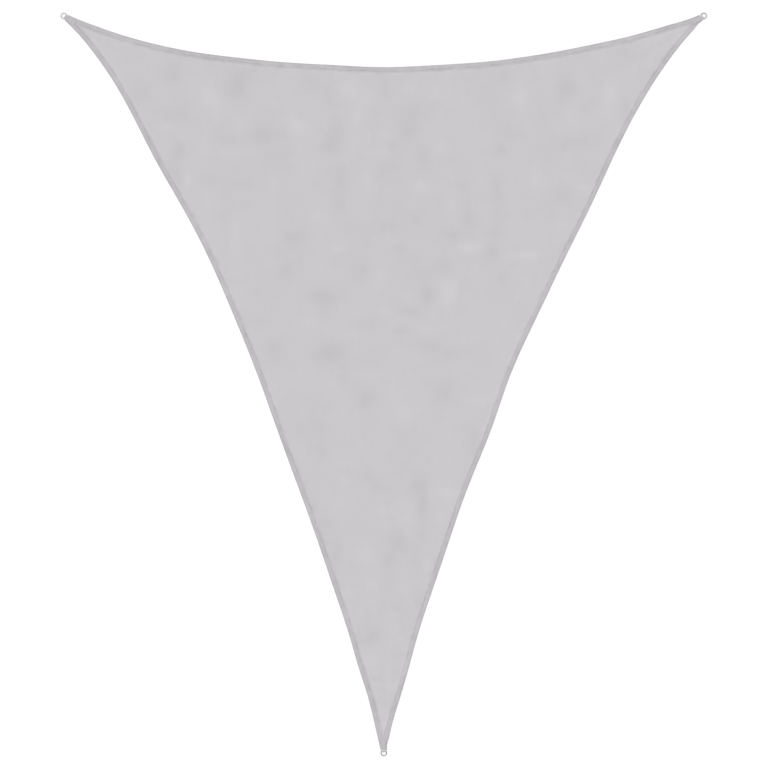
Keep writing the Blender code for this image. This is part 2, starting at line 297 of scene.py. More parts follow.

# Painted shade (below 0) and painted light on the cloth, standing for faint creases: middle, half width
# and half height (cm), and how strongly, in units of PATCH_DEPTH.
PATCH_DEPTH = 0.0172
TONE_PATCHES_CM = (
    # darker: painted shade
    (-131, 194, 7, 7, -2.9), (-92, 184, 6, 9, -3.6), (-88, 192, 5, 5, -2), (-80, 196, 4, 3, -2),
    (-149, 182, 5, 8, -1.8), (-128, 167, 16, 5, -1.9), (-74, 155, 10, 6, -3.3),
    (-96, 152, 7, 2.5, -1.8), (-71, 141, 12, 8, -1.2), (-127, 145, 5, 5, -3.4),
    (-130, 132, 5, 9, -2.4), (-109, 127, 4.5, 4, -2.2), (-84, 124, 10, 6, -1.6),
    (-34, 148, 6.5, 4.5, -3.6), (-30, 157, 5, 9, -2.6), (-34, 180, 5, 12, -2.3),
    (-46, 188, 6, 4, -1.4), (-27, 125, 4.5, 8, -2.9), (1, 184, 6, 9, -1.4), (-5, 168, 4, 4, -1.8),
    (2, 134, 6, 4, -1.4), (6, 148, 4.5, 3.5, -2.9), (14, 157, 6.5, 8, -3.6), (19, 169, 12, 6, -2.2),
    (25, 141, 5.5, 8, -2.9), (73, 145, 4.5, 3.5, -2.9), (79, 155, 8, 5, -1.9), (66, 180, 7, 11, -1.5),
    (74, 191, 4.5, 4, -2), (113, 185, 5.5, 8, -3.4), (125, 171, 4, 4, -2.6), (150, 171, 4.5, 7, -3),
    (150, 205, 8, 4, -1.9), (119, 151, 13, 3, -2.4), (42, 138, 4, 3, -1.8), (49, 123, 3.5, 3.5, -2.4),
    (70, 123, 3.5, 8, -2.2), (111, 118, 6, 6, -2.9), (-28, 112, 4.5, 7, -2.2), (53, 102, 5, 5, -2.4),
    (71, 103, 4, 13, -2), (44, 93, 6.5, 2.5, -2.6), (67, 83, 4.5, 6, -3.5), (20, 103, 5, 6, -1.7),
    (5, 98, 7, 3, -1.7), (-56, 91, 6, 6, -2.8), (-60, 70, 5, 6.5, -2.8), (-36, 53, 9, 5, -3.6),
    (-14, 70, 3.5, 5, -2.7), (11, 84, 4, 3, -2.9), (27, 55, 4.5, 6, -3.6), (26, 67, 4, 6, -1.8),
    (36, 73, 7, 5, -2.3), (15, 45.5, 7.5, 3.5, -3.5), (10, 34, 5.5, 3.5, -2.9), (-10, 37, 8, 4, -1.7),
    (74, 67, 4, 4, -2.8), (48, 44, 3, 4, -1.5), (28, 24, 8, 4, -2.7), (41, 19, 6, 3, -1.8),
    (-33, 19, 9, 7, -3.6), (-25, 4, 4, 4, -2.2), (-69, 24, 5, 8, -2.8), (-11, -9, 5.5, 5, -3.6),
    (37, -6, 6, 8, -2.4), (-52, -28, 5, 4, -2.1), (-43, -23, 6, 10, -1.3), (-38, -41, 4.5, 4, -2),
    (56, -34, 5, 9, -2.9), (10, -36, 7, 8, -1.2), (-10, -58, 6, 5, -2.6), (-2, -64, 7, 3, -2.7),
    (21, -62, 6, 7, -3.6), (24, -76, 3.5, 9, -3.2), (10, -56, 5, 3, -1.6), (-36, -87, 5, 6, -2.6),
    (-43, -73, 3, 6, -2), (9, -98, 6, 7.5, -3.3), (23, -94, 3, 4, -1.8), (-29, -108, 4, 8, -3),
    (4, -110, 5, 4, -2.6), (20, -110, 2.5, 2.5, -1.6), (4, -124, 4, 10, -1), (21, -133, 3, 6, -2.6),
    (8, -137, 3, 2, -1.5), (-10, -143, 2.5, 5, -1.8), (-5, -153, 3.5, 4, -2.8),
    (-8, -158, 5, 3.5, -2.9), (-14, -159, 3, 2.5, -2), (8, -168, 4, 2, -2.6), (8, -178, 2.5, 3, -1.8),
    (-6, -182.5, 2, 1.2, -2), (2, -197, 2.5, 5, -2.2), (68, 93, 6, 3.5, -2.4), (-67, 82, 5, 4, -1.5),
    (-36, 44, 6, 5, -1.7), (-78, 39, 5, 2, -1.8), (-11, 70, 3, 9, -1.3), (-12, 88, 5, 3, -1.3),
    (12, 33, 5, 2.5, -1.3), (-2, 40, 9, 4, -1), (-24, 11, 4, 2, -1.5), (20, 10, 4, 3, -1.3),
    (-34, -13, 4, 3, -1.3), (50, -27, 4, 4, -1.5), (3, -46, 3, 5, -1.5), (-12, -50, 4, 2, -1.5),
    (18, -55, 5, 3, -1.8), (28, -47, 3, 3, -1.2), (17, -68, 2, 3, -1.6), (3, -73, 3, 2, -1.6),
    (5, -83, 2.5, 2.5, -2.3), (13, -79, 2.5, 2, -2), (-46, -41, 3, 3, -1.4), (66, 70, 2.5, 3, -1.2),
    (-82, 190, 4, 3, -2), (-30, 172, 3, 5, -1.9), (-35, 120, 5, 3, -1.9), (-128, 126, 3, 2, -1.8),
    (-116, 146, 3, 3, -1.2), (42, 169, 4, 2, -1.5), (21, 159, 4, 3, -1.4), (84, 161, 5, 3, -1.2),
    (116, 147, 18, 2, -1), (85, 126, 5, 4, -1),
    # lighter: painted light
    (-109, 178, 6, 8, 2.5), (-104, 168, 3, 9, 1.7), (-53, 160, 7.5, 5, 2.6), (-22, 184, 7, 6, 2.6),
    (-12, 177, 4, 4, 2), (-17, 165, 4, 7, 1.8), (0, 155, 8, 2.5, 1.7), (-5, 144, 8, 2.5, 1.7),
    (-10, 127, 3, 8, 1.9), (-133, 159, 5, 2.5, 2.5), (-125, 155, 4, 2.5, 1.7), (-90, 163, 5, 6, 1.4),
    (-90, 144, 13, 2.5, 1.3), (-50, 138, 6, 4, 1.8), (-122, 126, 2, 4, 3.2), (-67, 124, 4, 4, 1.2),
    (84, 178, 6, 10, 2.5), (15, 184, 3.5, 3, 1.9), (31, 179, 7, 2.5, 1.7), (35, 147, 5, 5, 1.9),
    (102, 198, 5, 3, 1.6), (140, 180, 4.5, 9, 2.6), (115, 167, 5, 8, 1.5), (95, 126, 6, 7, 1.8),
    (25, 123, 8, 3.5, 1.7), (124, 122.5, 5, 2, 2.5), (39, 57, 5, 8, 3.6), (55, 85, 7.5, 3.5, 2.5),
    (86, 80, 12, 2.5, 3.3), (-92, 93, 4, 18, 1.5), (-41, 106, 4.5, 10, 1.7), (-27, 85, 5, 3, 2.2),
    (42, 110, 4, 8, 1.3), (62, 109, 4, 5, 1.3), (-2, 66, 3, 8, 1.5), (2, 46, 4, 3.5, 1.6),
    (-47, 38, 6.5, 4, 2.2), (-21, 31, 8, 3, 1.5), (27, 34, 5.5, 2, 1.5), (8, 19, 7, 5.5, 2.2),
    (-10, 6, 5, 4, 2.1), (-39, 0, 9, 6, 1.2), (60, -11, 6, 3.5, 2.5), (14, -17, 4, 4, 1.4),
    (-24, -60, 4, 3.5, 1.8), (-26, -49, 9, 2, 1.6), (-24, -71, 10, 3, 1.6), (14, -80, 6, 8, 2.2),
    (-1, -79, 4, 3, 1.8), (-1, -87, 5, 2, 1.6), (-12, -104, 8, 6.5, 2.2), (38, -67, 11, 3.5, 2.2),
    (35, -84, 4, 5, 1.4), (27, -112, 3, 6, 2), (-7, -123, 4, 5, 1.5), (12, -127, 4, 3.5, 1.8),
    (-22, -129, 3.5, 3.5, 2.5), (-14, -142, 2, 3, 1.8), (5, -142, 3, 2, 2.5), (8, -152, 2, 3, 2),
    (9, -158, 3.5, 2, 2.2), (-8, -171, 5, 6, 1.4), (-4, -186, 3, 1.5, 2.4), (3, -187, 3, 1.5, 2.8),
    (-2, -193, 2, 1.5, 1.3), (-56, 96, 3, 2, 1.5), (-48, 76, 2.5, 2, 1.8), (16, 56, 4, 2, 1.7),
    (56, 70, 5, 6, 1), (-62, 43, 7, 4, 1.2), (80, 100, 3, 10, 1.2), (77, 37, 3, 8, 1.2),
    (2, 72, 5, 10, 0.8), (32, 8, 3, 5, 1), (19, 88, 5, 4, 1), (-2, -25, 5, 8, 0.8),
    (-15, -38, 5, 4, 0.9), (-32, -80, 2, 3, 1.8), (16, -93, 4, 3, 1.1), (100, 152, 6, 2, 1.8),
    (-10, 155, 3, 5, 1.4), (1, 120, 5, 3, 1.6), (-31, 149, 3, 2, 1.4), (-20, 176, 3, 3, 1.5),
    (-118, 170, 5, 4, 1), (-48, 175, 4, 6, 1.1), (35, 160, 7, 5, 1), (-120, 130, 3, 12, 1),
    (146, 173, 2, 4, 1.2),
)  # fmt: skip

# Darker (above 0) and lighter marks on each hem: place along it, depth inside the edge, half
# length and half depth (mm), and how strongly, in units of MARK_DEPTH.
MARK_DEPTH = 0.015
HEM_MARKS_MM = {
    "left": (
        (280, 27, 12, 10, 2.5), (500, 24, 70, 9, -2), (900, 30, 50, 18, 1.2), (1050, 24, 6, 6, 4),
        (1180, 30, 9, 6, 2.5), (1350, 44, 50, 10, -2.5), (1650, 42, 22, 11, 2.5),
        (2110, 28, 24, 7, 4), (2200, 22, 25, 9, -2), (2380, 16, 14, 5, 4.5),
        (2440, 42, 18, 10, 2.5), (2650, 16, 25, 6, -2), (2750, 31, 16, 8, 4.5),
        (3000, 18, 55, 6, 3), (3030, 32, 16, 4, -3.5), (3340, 30, 18, 7, 4), (3900, 43, 45, 10, 2),
        (4100, 22, 40, 12, -2), (4310, 24, 24, 8, 4), (4570, 20, 22, 9, 4),
    ),
    "right": (
        (280, 20, 24, 12, 4), (350, 22, 8, 14, -3.5), (630, 13, 6, 12, 4.5), (720, 38, 25, 12, 2),
        (1560, 30, 9, 6, 3), (1950, 42, 55, 11, 2.5), (2460, 31, 7, 7, 4.5), (2850, 30, 10, 9, -4),
        (3000, 31, 14, 7, 5), (3150, 26, 10, 7, 3.5), (3600, 37, 45, 7, -2),
        (4050, 30, 20, 13, 2.5), (4110, 24, 9, 18, -4.5), (4450, 18, 16, 8, 4.5),
        (4550, 22, 16, 7, 4.5),
    ),
    "top": (
        (220, 18, 25, 8, 3), (300, 18, 8, 12, -5), (335, 18, 8, 13, 4.5), (450, 41, 30, 7, 2.5),
        (900, 39, 16, 7, 2.5), (1950, 31, 36, 6, 4), (1960, 15, 25, 5, 3), (2400, 28, 80, 8, 1.5),
        (2920, 15, 12, 8, 4), (3240, 21, 14, 8, 4), (3480, 32, 25, 6, -4), (3750, 24, 18, 13, 4),
    ),
}  # fmt: skip

HEMS = ("top", "right", "left")  # the hem named first laps over those named after it


# ---- Small helpers ----


def heading(angle):
    return np.array((math.cos(angle), math.sin(angle)))


def left_of(direction):
    return np.array((-direction[1], direction[0]))


def unit(vectors):
    return vectors / np.linalg.norm(vectors, axis=1)[:, None]


def arc_lengths(points):
    """How far along the line through the points each of them lies."""
    steps = np.linalg.norm(np.diff(points, axis=0), axis=1)
    return np.concatenate([[0], np.cumsum(steps)])


def smooth_step(share):
    share = np.clip(share, 0, 1)
    return share * share * (3 - 2 * share)


def hump(distance, width):
    """1 at distance 0, fading to 0 a few widths away."""
    return np.exp(-((distance / width) ** 2))


def dark_line(distance, line):
    """How dark a line is at a distance from it."""
    darkness, half_width = line
    return darkness * hump(distance, half_width)


def soft_noise(u, v, seed, cells=97):
    """Smooth random heights from -1 to 1 on a field whose bumps are about one unit wide."""
    table = np.random.default_rng(seed).uniform(-1, 1, (cells, cells))
    i = np.floor(u).astype(int)
    j = np.floor(v).astype(int)
    a = smooth_step(u - i)
    b = smooth_step(v - j)
    low = table[i % cells, j % cells] * (1 - a) + table[(i + 1) % cells, j % cells] * a
    high = table[i % cells, (j + 1) % cells] * (1 - a) + table[(i + 1) % cells, (j + 1) % cells] * a
    return low * (1 - b) + high * b


def noise_sum(u, v, rows, seed=0):
    """The sum of the random fields in rows, at the places (u, v)."""
    total = 0
    for strength, along, across, own_seed in rows:
        total = total + strength * soft_noise(u / along, v / across, seed + own_seed)
    return total


# ---- Corners and sides, seen from above ----


def corner(name, ring_end, angle):
    out = heading(angle)
    bar = ring_end - out * RING_REACH
    loop_end = bar + out * STRAP_OUTER_RADIUS
    return Corner(name, out, left_of(out), bar, loop_end, loop_end - out * CLOTH_SETBACK)


def sail_corners():
    """Left, tip and right corner."""
    bow_overshoot = (RING_HALF_WIDTH + WIRE_RADIUS) * (1 - math.sin(UPPER_RING_RISE))
    tip_y = -(SAIL_DEPTH + bow_overshoot) / 2
    top_y = tip_y + SAIL_DEPTH
    return (
        corner("left", np.array((-TOP_SPAN / 2, top_y)), math.pi - UPPER_RING_RISE),
        corner("tip", np.array((0, tip_y)), -math.pi / 2),
        corner("right", np.array((TOP_SPAN / 2, top_y)), UPPER_RING_RISE),
    )


def spline_bend(values):
    """The second differences of the natural cubic through evenly spaced values."""
    count = len(values)
    matrix = np.eye(count)
    bend = np.zeros(count)
    for i in range(1, count - 1):
        matrix[i, i - 1 : i + 2] = (1, 4, 1)
        bend[i] = 6 * (values[i - 1] - 2 * values[i] + values[i + 1])
    return np.linalg.solve(matrix, bend)


class Side:
    """One side of the cloth, a long hollow edge or a blunt end, followed anticlockwise."""

    FINE_STEPS = 3000
    FOOT_ROUNDS = 8

    def __init__(self, start, end, sag_mm=(0, 0), bunching=0, neck_depth=0):
        self.start = start
        self.chord = np.linalg.norm(end - start)
        self.along = (end - start) / self.chord
        self.inward = left_of(self.along)
        self.sag = np.array(sag_mm, float) / 1000
        self.bend = spline_bend(self.sag)
        self.bunching = bunching
        self.neck_depth = neck_depth
        self.even = np.linspace(0, 1, self.FINE_STEPS)
        self.share = self.even - bunching * np.sin(math.tau * self.even) / math.tau
        self.arc = arc_lengths(self.point(self.share))
        self.length = self.arc[-1]

    def hollow(self, share):
        """How deep the side is hollowed at share of its straight line, and how fast that grows."""
        even = np.interp(share, self.share, self.even)
        count = len(self.sag) - 1
        place = even * count
        i = np.clip(place.astype(int), 0, count - 1)
        b = place - i
        a = 1 - b
        low, high = self.sag[i], self.sag[i + 1]
        bend_low, bend_high = self.bend[i], self.bend[i + 1]
        depth = a * low + b * high + ((a**3 - a) * bend_low + (b**3 - b) * bend_high) / 6
        growth = high - low + ((3 * b * b - 1) * bend_high - (3 * a * a - 1) * bend_low) / 6
        growth = growth * count / (1 - self.bunching * np.cos(math.tau * even))
        neck, neck_growth = self.neck(share)
        return depth + neck, growth + neck_growth

    def neck(self, share):
        """The neck's part of hollow."""
        from_end = self.chord * np.minimum(share, 1 - share)
        part = np.clip(from_end / NECK_REACH, 1e-9, 1)
        turn = math.pi * part**NECK_LEAN
        growth = np.sin(2 * turn) * turn * NECK_LEAN / part * self.chord / NECK_REACH
        growth = growth * np.sign(0.5 - share) * (part < 1)
        return self.neck_depth * np.sin(turn) ** 2, self.neck_depth * growth

    def point(self, share):
        depth, _ = self.hollow(share)
        return self.start + np.outer(share * self.chord, self.along) + np.outer(depth, self.inward)

    def normal(self, share):
        """The inward unit vector across the side."""
        _, growth = self.hollow(share)
        return unit(self.chord * self.inward - np.outer(growth, self.along))

    def at(self, arc, inset):
        """The points that lie inset within the side, arc along it."""
        share = np.interp(arc, self.arc, self.share)
        return self.point(share) + self.normal(share) * np.reshape(inset, (-1, 1))

    def stations(self, spacing):
        count = max(2, round(self.length / spacing))
        return np.linspace(0, self.length, count + 1)

    def locate(self, points):
        """Each point's place along the side, and how far inside it the point lies."""
        offset = points - self.start
        along = offset @ self.along / self.chord
        inside = offset @ self.inward
        share = np.clip(along, 0, 1)
        for _ in range(self.FOOT_ROUNDS):
            depth, growth = self.hollow(share)
            share = np.clip(along + (inside - depth) * growth / self.chord**2, 0, 1)
        inset = ((points - self.point(share)) * self.normal(share)).sum(1)
        return np.interp(share, self.share, self.arc), inset


def cloth_sides(corners):
    """The cloth's sides by name, anticlockwise: each long edge, then the blunt end after it."""
    half_end = CLOTH_END_WIDTH / 2
    sides = {}
    for i, name in enumerate(EDGE_SAG_MM):
        start, end = corners[i], corners[(i + 1) % 3]
        first = start.cloth_end + start.side * half_end
        last = end.cloth_end - end.side * half_end
        sides[name] = Side(first, last, EDGE_SAG_MM[name], END_BUNCHING, NECK_DEPTH[name])
        sides["end_" + end.name] = Side(last, end.cloth_end + end.side * half_end)
    return sides


# ---- The sail's surface ----


class Sail:
    """Heights and tones of the cloth at any place on it."""

    def __init__(self, corners):
        self.corners = corners
        self.sides = cloth_sides(corners)

    def survey(self, points):
        """{side: (place along it, distance inside it)} for the points."""
        return {name: side.locate(points) for name, side in self.sides.items()}

    def reach(self, points):
        """The distance from the nearest loop's far end."""
        return np.min([np.linalg.norm(points - c.loop_end, axis=1) for c in self.corners], axis=0)

    def hem_cover(self, places):
        """{hem: 1 on the turned layer, 0 off it}, {hem: how much of it lies on top}, and how much
        of a first and of a second hem there is."""
        cover, shown = {}, {}
        above = 1
        for name in HEMS:
            inset = places[name][1]
            cover[name] = smooth_step((HEM_FOOT - inset) / HEM_STEP)
            shown[name] = above
            above = above * (1 - cover[name])
        layers = np.sort(list(cover.values()), axis=0)[::-1]
        return cover, shown, layers[0], layers[1]

    def creases(self, points):
        """The panel's soft creases and pulls, in metres."""
        x, y = points.T
        x = x + noise_sum(x, y, CREASE_WANDER_X)
        y = y + noise_sum(x, y, CREASE_WANDER_Y)
        total = np.zeros(len(points))
        for middle_x, middle_y, turn, length, width, height in CREASES:
            along_x, along_y = heading(math.radians(turn))
            along = (x - middle_x) * along_x + (y - middle_y) * along_y
            across = (y - middle_y) * along_x - (x - middle_x) * along_y
            total += height * hump(along, length) * hump(across, width)
        for name, turn, begin, end, width, height in PULLS:
            c = next(c for c in self.corners if c.name == name)
            line = heading(math.atan2(-c.out[1], -c.out[0]) + math.radians(turn))
            offset = points - c.loop_end
            along = offset @ line
            across = offset @ left_of(line)
            length = end - begin
            grown = smooth_step((along - begin) / (PULL_GROWTH * length))
            faded = smooth_step((end - along) / (PULL_FADE * length))
            spread = width * np.interp((along - begin) / length, (0, 1), PULL_SPREAD)
            total += height * grown * faded * hump(across, spread)
        return total / 1000

    def hem_relief(self, places, shown):
        """What sewing does to the hems and beside them, in metres: the layers swell between the
        two rows of stitches, a ridge runs along the fold, and the cloth puckers and waves."""
        total = 0
        for name, seed in RELIEF_SEEDS.items():
            arc, inset = places[name]
            between = np.clip((inset - OUTER_ROW) / (INNER_ROW - OUTER_ROW), 0, 1)
            swell = SWELL_MM + noise_sum(arc, inset, HEM_SWELL, seed)
            bulge = swell * np.sin(math.pi * between) ** 2
            ridge = FOLD_RIDGE_MM * hump(inset - FOLD_RIDGE_PLACE, FOLD_RIDGE_WIDTH)
            beyond = np.maximum(inset - INNER_ROW, 0)
            pucker = noise_sum(arc, inset, HEM_PUCKER, seed) * np.exp(-beyond / PUCKER_FADE)
            waves = noise_sum(arc, inset, HEM_WAVES, seed) * np.exp(-beyond / WAVES_FADE)
            total = total + shown[name] * (bulge + ridge + pucker + waves)
        return total / 1000

    def inner_row(self, name, arc):
        """How far inside the edge the inner row of stitches runs."""
        return INNER_ROW + noise_sum(arc, 0 * arc, ROW_WANDER, HEMS.index(name))

    def grooves(self, places, shown):
        """How deep the rows of stitches pull the cloth's top down."""
        depth = 0
        for name in HEMS:
            arc, inset = places[name]
            outer = hump(inset - OUTER_ROW, ROW_GROOVE_WIDTH)
            inner = hump(inset - self.inner_row(name, arc), ROW_GROOVE_WIDTH)
            depth = depth + ROW_GROOVE * (outer + inner) * shown[name]
        return depth

    def faces(self, points):
        """The heights of the cloth's underside and of its top."""
        places = self.survey(points)
        _, shown, first, second = self.hem_cover(places)
        reach = self.reach(points)
        lift = CORNER_LIFT * smooth_step((LIFT_FOOT - reach) / (LIFT_FOOT - LIFT_FULL))
        calm = smooth_step((reach - LIFT_FULL) / CALM_SPAN)

        edge = np.min([places[name][1] for name in HEMS], axis=0)
        share = EDGE_WAVES + (1 - EDGE_WAVES) * smooth_step(edge / EDGE_WAVES_SPAN)
        wave = LEAST_LIFT + (self.creases(points) + noise_sum(*points.T, WAVES) / 1000) * share
        wave = 0.5 * (wave + np.sqrt(wave**2 + TROUGH_ROUNDING**2))
        under = lift + calm * wave

        thickness = CLOTH_LAYER + HEM_LAYER * first + LAP_LAYER * second
        sewn = calm * self.hem_relief(places, shown) - self.grooves(places, shown)
        top = under + np.maximum(thickness + sewn, LEAST_THICKNESS)

        rim = np.min([inset for _, inset in places.values()], axis=0)
        rounded = np.sqrt(1 - (1 - np.clip(rim / RIM_RADIUS, 0, 1)) ** 2)
        middle = (under + top) / 2
        return middle + (under - middle) * rounded, middle + (top - middle) * rounded

    def hem_tone(self, name, places):
        """How light a hem is against the panel: darker all over, painted shade where the doubled cloth
        lets less light through, and painted shade in broken lines along its fold and its sunken inner
        stitches, and a painted shadow along its inner step, with marks and streaks."""
        arc, inset = places[name]
        seed = TONE_SEEDS[name]
        doubled = smooth_step((HEM_SHADE_EDGE - inset) / HEM_SHADE_SPAN)
        streaks = noise_sum(arc, inset, HEM_STREAKS, seed)
        for place, depth, half_length, half_depth, strength in HEM_MARKS_MM[name]:
            mark = hump(1000 * arc - place, half_length) * hump(1000 * inset - depth, half_depth)
            streaks += MARK_DEPTH * strength * mark
        streaks *= smooth_step((STREAK_EDGE - inset) / STREAK_SPAN)
        fold = FOLD_SHADE_MEAN + noise_sum(arc, 0 * arc, FOLD_SHADES, seed)
        row = ROW_SHADE_MEAN + noise_sum(arc, 0 * arc, ROW_SHADES, seed)
        # Painted shade in broken lines along the fold and the sunken inner row, and a painted shadow
        # along the hem's inner step.
        fold_shade_line = fold * dark_line(inset - OUTER_ROW, FOLD_LINE)
        row_shade_line = np.maximum(row, 0) * dark_line(inset - self.inner_row(name, arc), ROW_LINE)
        step_shadows = dark_line(inset - HEM_WIDTH - HEM_STEP / 2, STEP_LINE)
        step_shadows += dark_line(inset - FOOT_LINE_PLACE, FOOT_LINE)
        return 1 - doubled * (HEM_SHADE + fold_shade_line + row_shade_line) - streaks - step_shadows

    def panel_tone(self, points):
        """How much lighter the panel is at each point than the plain cloth: random tone, and the
        painted light and shade of faint creases.
        """
        x, y = points.T
        tone = noise_sum(x, y, PANEL_TONES)
        for middle_x, middle_y, half_width, half_height, strength in TONE_PATCHES_CM:
            patch = hump(100 * x - middle_x, half_width) * hump(100 * y - middle_y, half_height)
            tone += PATCH_DEPTH * strength * patch
        return tone

    def tone(self, points):
        """How light the cloth is at each point, 1 in the plain panel, with the hems' painted shade and
        the painted light and shade of faint creases.
        """
        places = self.survey(points)
        _, shown, first, second = self.hem_cover(places)
        tone = 1 + self.panel_tone(points) * (1 - PANEL_TONE_FADE * first)
        for name in HEMS:
            tone *= 1 - shown[name] * (1 - self.hem_tone(name, places))
        return tone * (1 - LAP_SHADE * second)

    def weave_place(self, points, faces):
        """For each corner of the faces, its place in the weave of the layer that lies on top at the
        face's middle; a turned hem's weave runs along its edge."""
        places = self.survey(points)
        cover = self.hem_cover(self.survey(points[faces].mean(axis=1)))[0]
        woven = points[faces]
        for name in reversed(HEMS):
            turned = np.stack(places[name], axis=1)[faces]
            on_hem = cover[name] > 0.5
            woven[on_hem] = turned[on_hem]
        return woven.reshape(-1, 2)


# ---- Meshes ----


def new_object(name, data):
    made = bpy.data.objects.new(name, data)
    bpy.context.scene.collection.objects.link(made)
    return made


def new_piece(name, vertices, faces, finish):
    mesh = bpy.data.meshes.new(name)
    mesh.from_pydata(vertices, [], faces)
    mesh.materials.append(finish)
    mesh.shade_smooth()
    return new_object(name, mesh)


def add_values(piece, name, values, domain="POINT"):
    """Keeps a number, or a place of two numbers, for each vertex or for each corner of each face."""
    attributes = piece.data.attributes
    if values.ndim == 1:
        layer = attributes.new(name, "FLOAT", domain)
        layer.data.foreach_set("value", values.astype(np.float32))
        return
    layer = attributes.new(name, "FLOAT_VECTOR", domain)
    places = np.zeros((len(values), 3), np.float32)
    places[:, : values.shape[1]] = values
    layer.data.foreach_set("vector", places.ravel())


def hex_grid(low, high, spacing):
    rows = []
    row_step = spacing * math.sqrt(3) / 2
    for number, y in enumerate(np.arange(low[1], high[1], row_step)):
        x = np.arange(low[0], high[0], spacing) + (number % 2) * spacing / 2
        rows.append(np.stack([x, np.full(len(x), y)], axis=1))
    return np.vstack(rows)


def sail_outline(sail):
    points = []
    for side in sail.sides.values():
        arcs = side.stations(STATION)[:-1]
        points.append(side.at(arcs, np.zeros(len(arcs))))
    return np.vstack(points)


def column_points(sail, columns_mm, rim_columns_mm, spacing):
    """The points of the columns that run along the sides, without those that another side's
    columns stand for: in a lap the upper hem's count, and elsewhere the nearest side's."""
    kept = []
    for name, side in sail.sides.items():
        is_hem = name in HEMS
        above = HEMS[: HEMS.index(name)] if is_hem else ()
        for column_mm in columns_mm if is_hem else rim_columns_mm:
            inset = column_mm / 1000
            arcs = side.stations(spacing)
            points = side.at(arcs, np.full(len(arcs), inset))
            places = sail.survey(points)
            keep = np.ones(len(points), bool)
            for other in sail.sides:
                if other == name:
                    continue
                distance = places[other][1]
                if inset <= RIM_BAND:
                    keep &= distance >= inset
                elif inset > HEM_FOOT and other in HEMS:
                    keep &= distance > inset
                elif other in above:
                    keep &= distance > HEM_FOOT + COLUMN_GAP
                else:
                    keep &= distance > RIM_BAND
            kept.append(points[keep])
    return np.vstack(kept)


def panel_points(sail, spacing, columns_mm):
    """A grid over the panel, inside the last of the columns."""
    border = columns_mm[-1] / 1000 + spacing / 2
    outline = sail_outline(sail)
    points = hex_grid(outline.min(0), outline.max(0), spacing)
    places = sail.survey(points)
    edge = np.min([inset for _, inset in places.values()], axis=0)
    return points[edge > border]


def fill_outline(outline, inner):
    """Triangles over the outline through the inner points: places, triangles, and for each place
    its number in the outline, or -1."""
    count = len(outline)
    points = np.vstack([outline, *inner]).tolist()
    ring = [(i, (i + 1) % count) for i in range(count)]
    found, _, triangles, sources, _, faces_of = delaunay_2d_cdt(
        points, ring, [list(range(count))], 0, 1e-5, True
    )
    places = np.array([(p.x, p.y) for p in found])
    number = np.array([min(s) if s and min(s) < count else -1 for s in sources])
    inside = np.array([t for t, faces in zip(triangles, faces_of) if faces])
    return places, inside, number


def build_cloth(sail, finish):
    """The hemmed cloth as one closed sheet: a fine top and a coarser underside that meet halfway up
    its rounded rim."""
    outline = sail_outline(sail)
    top_inner = (
        column_points(sail, HEM_COLUMNS_MM, RIM_COLUMNS_MM, STATION),
        panel_points(sail, GRID, HEM_COLUMNS_MM),
    )
    under_inner = (
        column_points(sail, UNDER_COLUMNS_MM[:2], RIM_COLUMNS_MM[:1], STATION),
        column_points(sail, UNDER_COLUMNS_MM[2:], (), 4 * STATION),
        panel_points(sail, UNDER_GRID, UNDER_COLUMNS_MM),
    )
    top, top_faces, _ = fill_outline(outline, top_inner)
    under, under_faces, number = fill_outline(outline, under_inner)

    _, top_heights = sail.faces(top)
    under_heights, _ = sail.faces(under)
    new_number = np.where(number >= 0, number, 0)
    free = number < 0
    new_number[free] = len(top) + np.arange(free.sum())
    top_vertices = np.column_stack([top, top_heights])
    under_vertices = np.column_stack([under[free], under_heights[free]])
    vertices = np.vstack([top_vertices, under_vertices])
    faces = np.vstack([top_faces, new_number[under_faces][:, ::-1]])
    piece = new_piece("sail_cloth_sewn", vertices.tolist(), faces.tolist(), finish)
    places = vertices[:, :2]
    # The tone holds painted shade on the hems and the painted light and shade of faint creases.
    add_values(piece, "tone", sail.tone(places))
    add_values(piece, "weave", sail.weave_place(places, faces), "CORNER")
    return piece


def band_faces(rings, around, closed=False):
    """The four-sided faces between rings of points, the last ring joined to the first if closed."""
    faces = []
    for i in range(rings if closed else rings - 1):
        low, high = i * around, (i + 1) % rings * around
        for k in range(around):
            after = (k + 1) % around
            faces.append((low + k, low + after, high + after, high + k))
    return faces


def stitch_mesh(name, starts, ends, radius, arch, finish):
    """Stitches from starts to ends, each a closed strand that rises out of the cloth and back."""
    sink = THREAD_SINK * radius
    along = ends - starts
    level = unit(along * (1, 1, 0))
    across = np.stack([-level[:, 1], level[:, 0], np.zeros(len(level))], axis=1)
    up = np.array((0, 0, 1))

    rings = []
    for share, size in THREAD_RINGS:
        middle = starts + along * share + up * arch * math.sin(math.pi * share)
        for k in range(THREAD_SIDES):
            angle = math.tau * k / THREAD_SIDES
            spoke = across * math.cos(angle) + up * math.sin(angle)
            rings.append(middle + spoke * radius * size)
    stacked = np.stack([*rings, starts - up * sink, ends - up * sink], axis=1)

    first_pole = len(rings)
    last_pole = first_pole + 1
    tail = first_pole - THREAD_SIDES
    triangles = []
    for a, b, c, d in band_faces(len(THREAD_RINGS), THREAD_SIDES):
        triangles += [(a, b, c), (a, c, d)]
    for k in range(THREAD_SIDES):
        after = (k + 1) % THREAD_SIDES
        triangles += [(first_pole, after, k), (last_pole, tail + k, tail + after)]
    offsets = np.arange(len(starts)) * stacked.shape[1]
    faces = (np.array(triangles) + offsets[:, None, None]).reshape(-1, 3)
    return new_piece(name, stacked.reshape(-1, 3).tolist(), faces.tolist(), finish)


def under_strap(corners, points):
    """True for the points that a loop's upper leg covers."""
    covered = np.zeros(len(points), bool)
    for c in corners:
        offset = points - c.bar
        past_end = offset @ c.out > -STRAP_LEG - STRAP_SEW_CLEARANCE
        covered |= past_end & (abs(offset @ c.side) < STRAP_WIDTH / 2 + STRAP_SEW_CLEARANCE)
    return covered


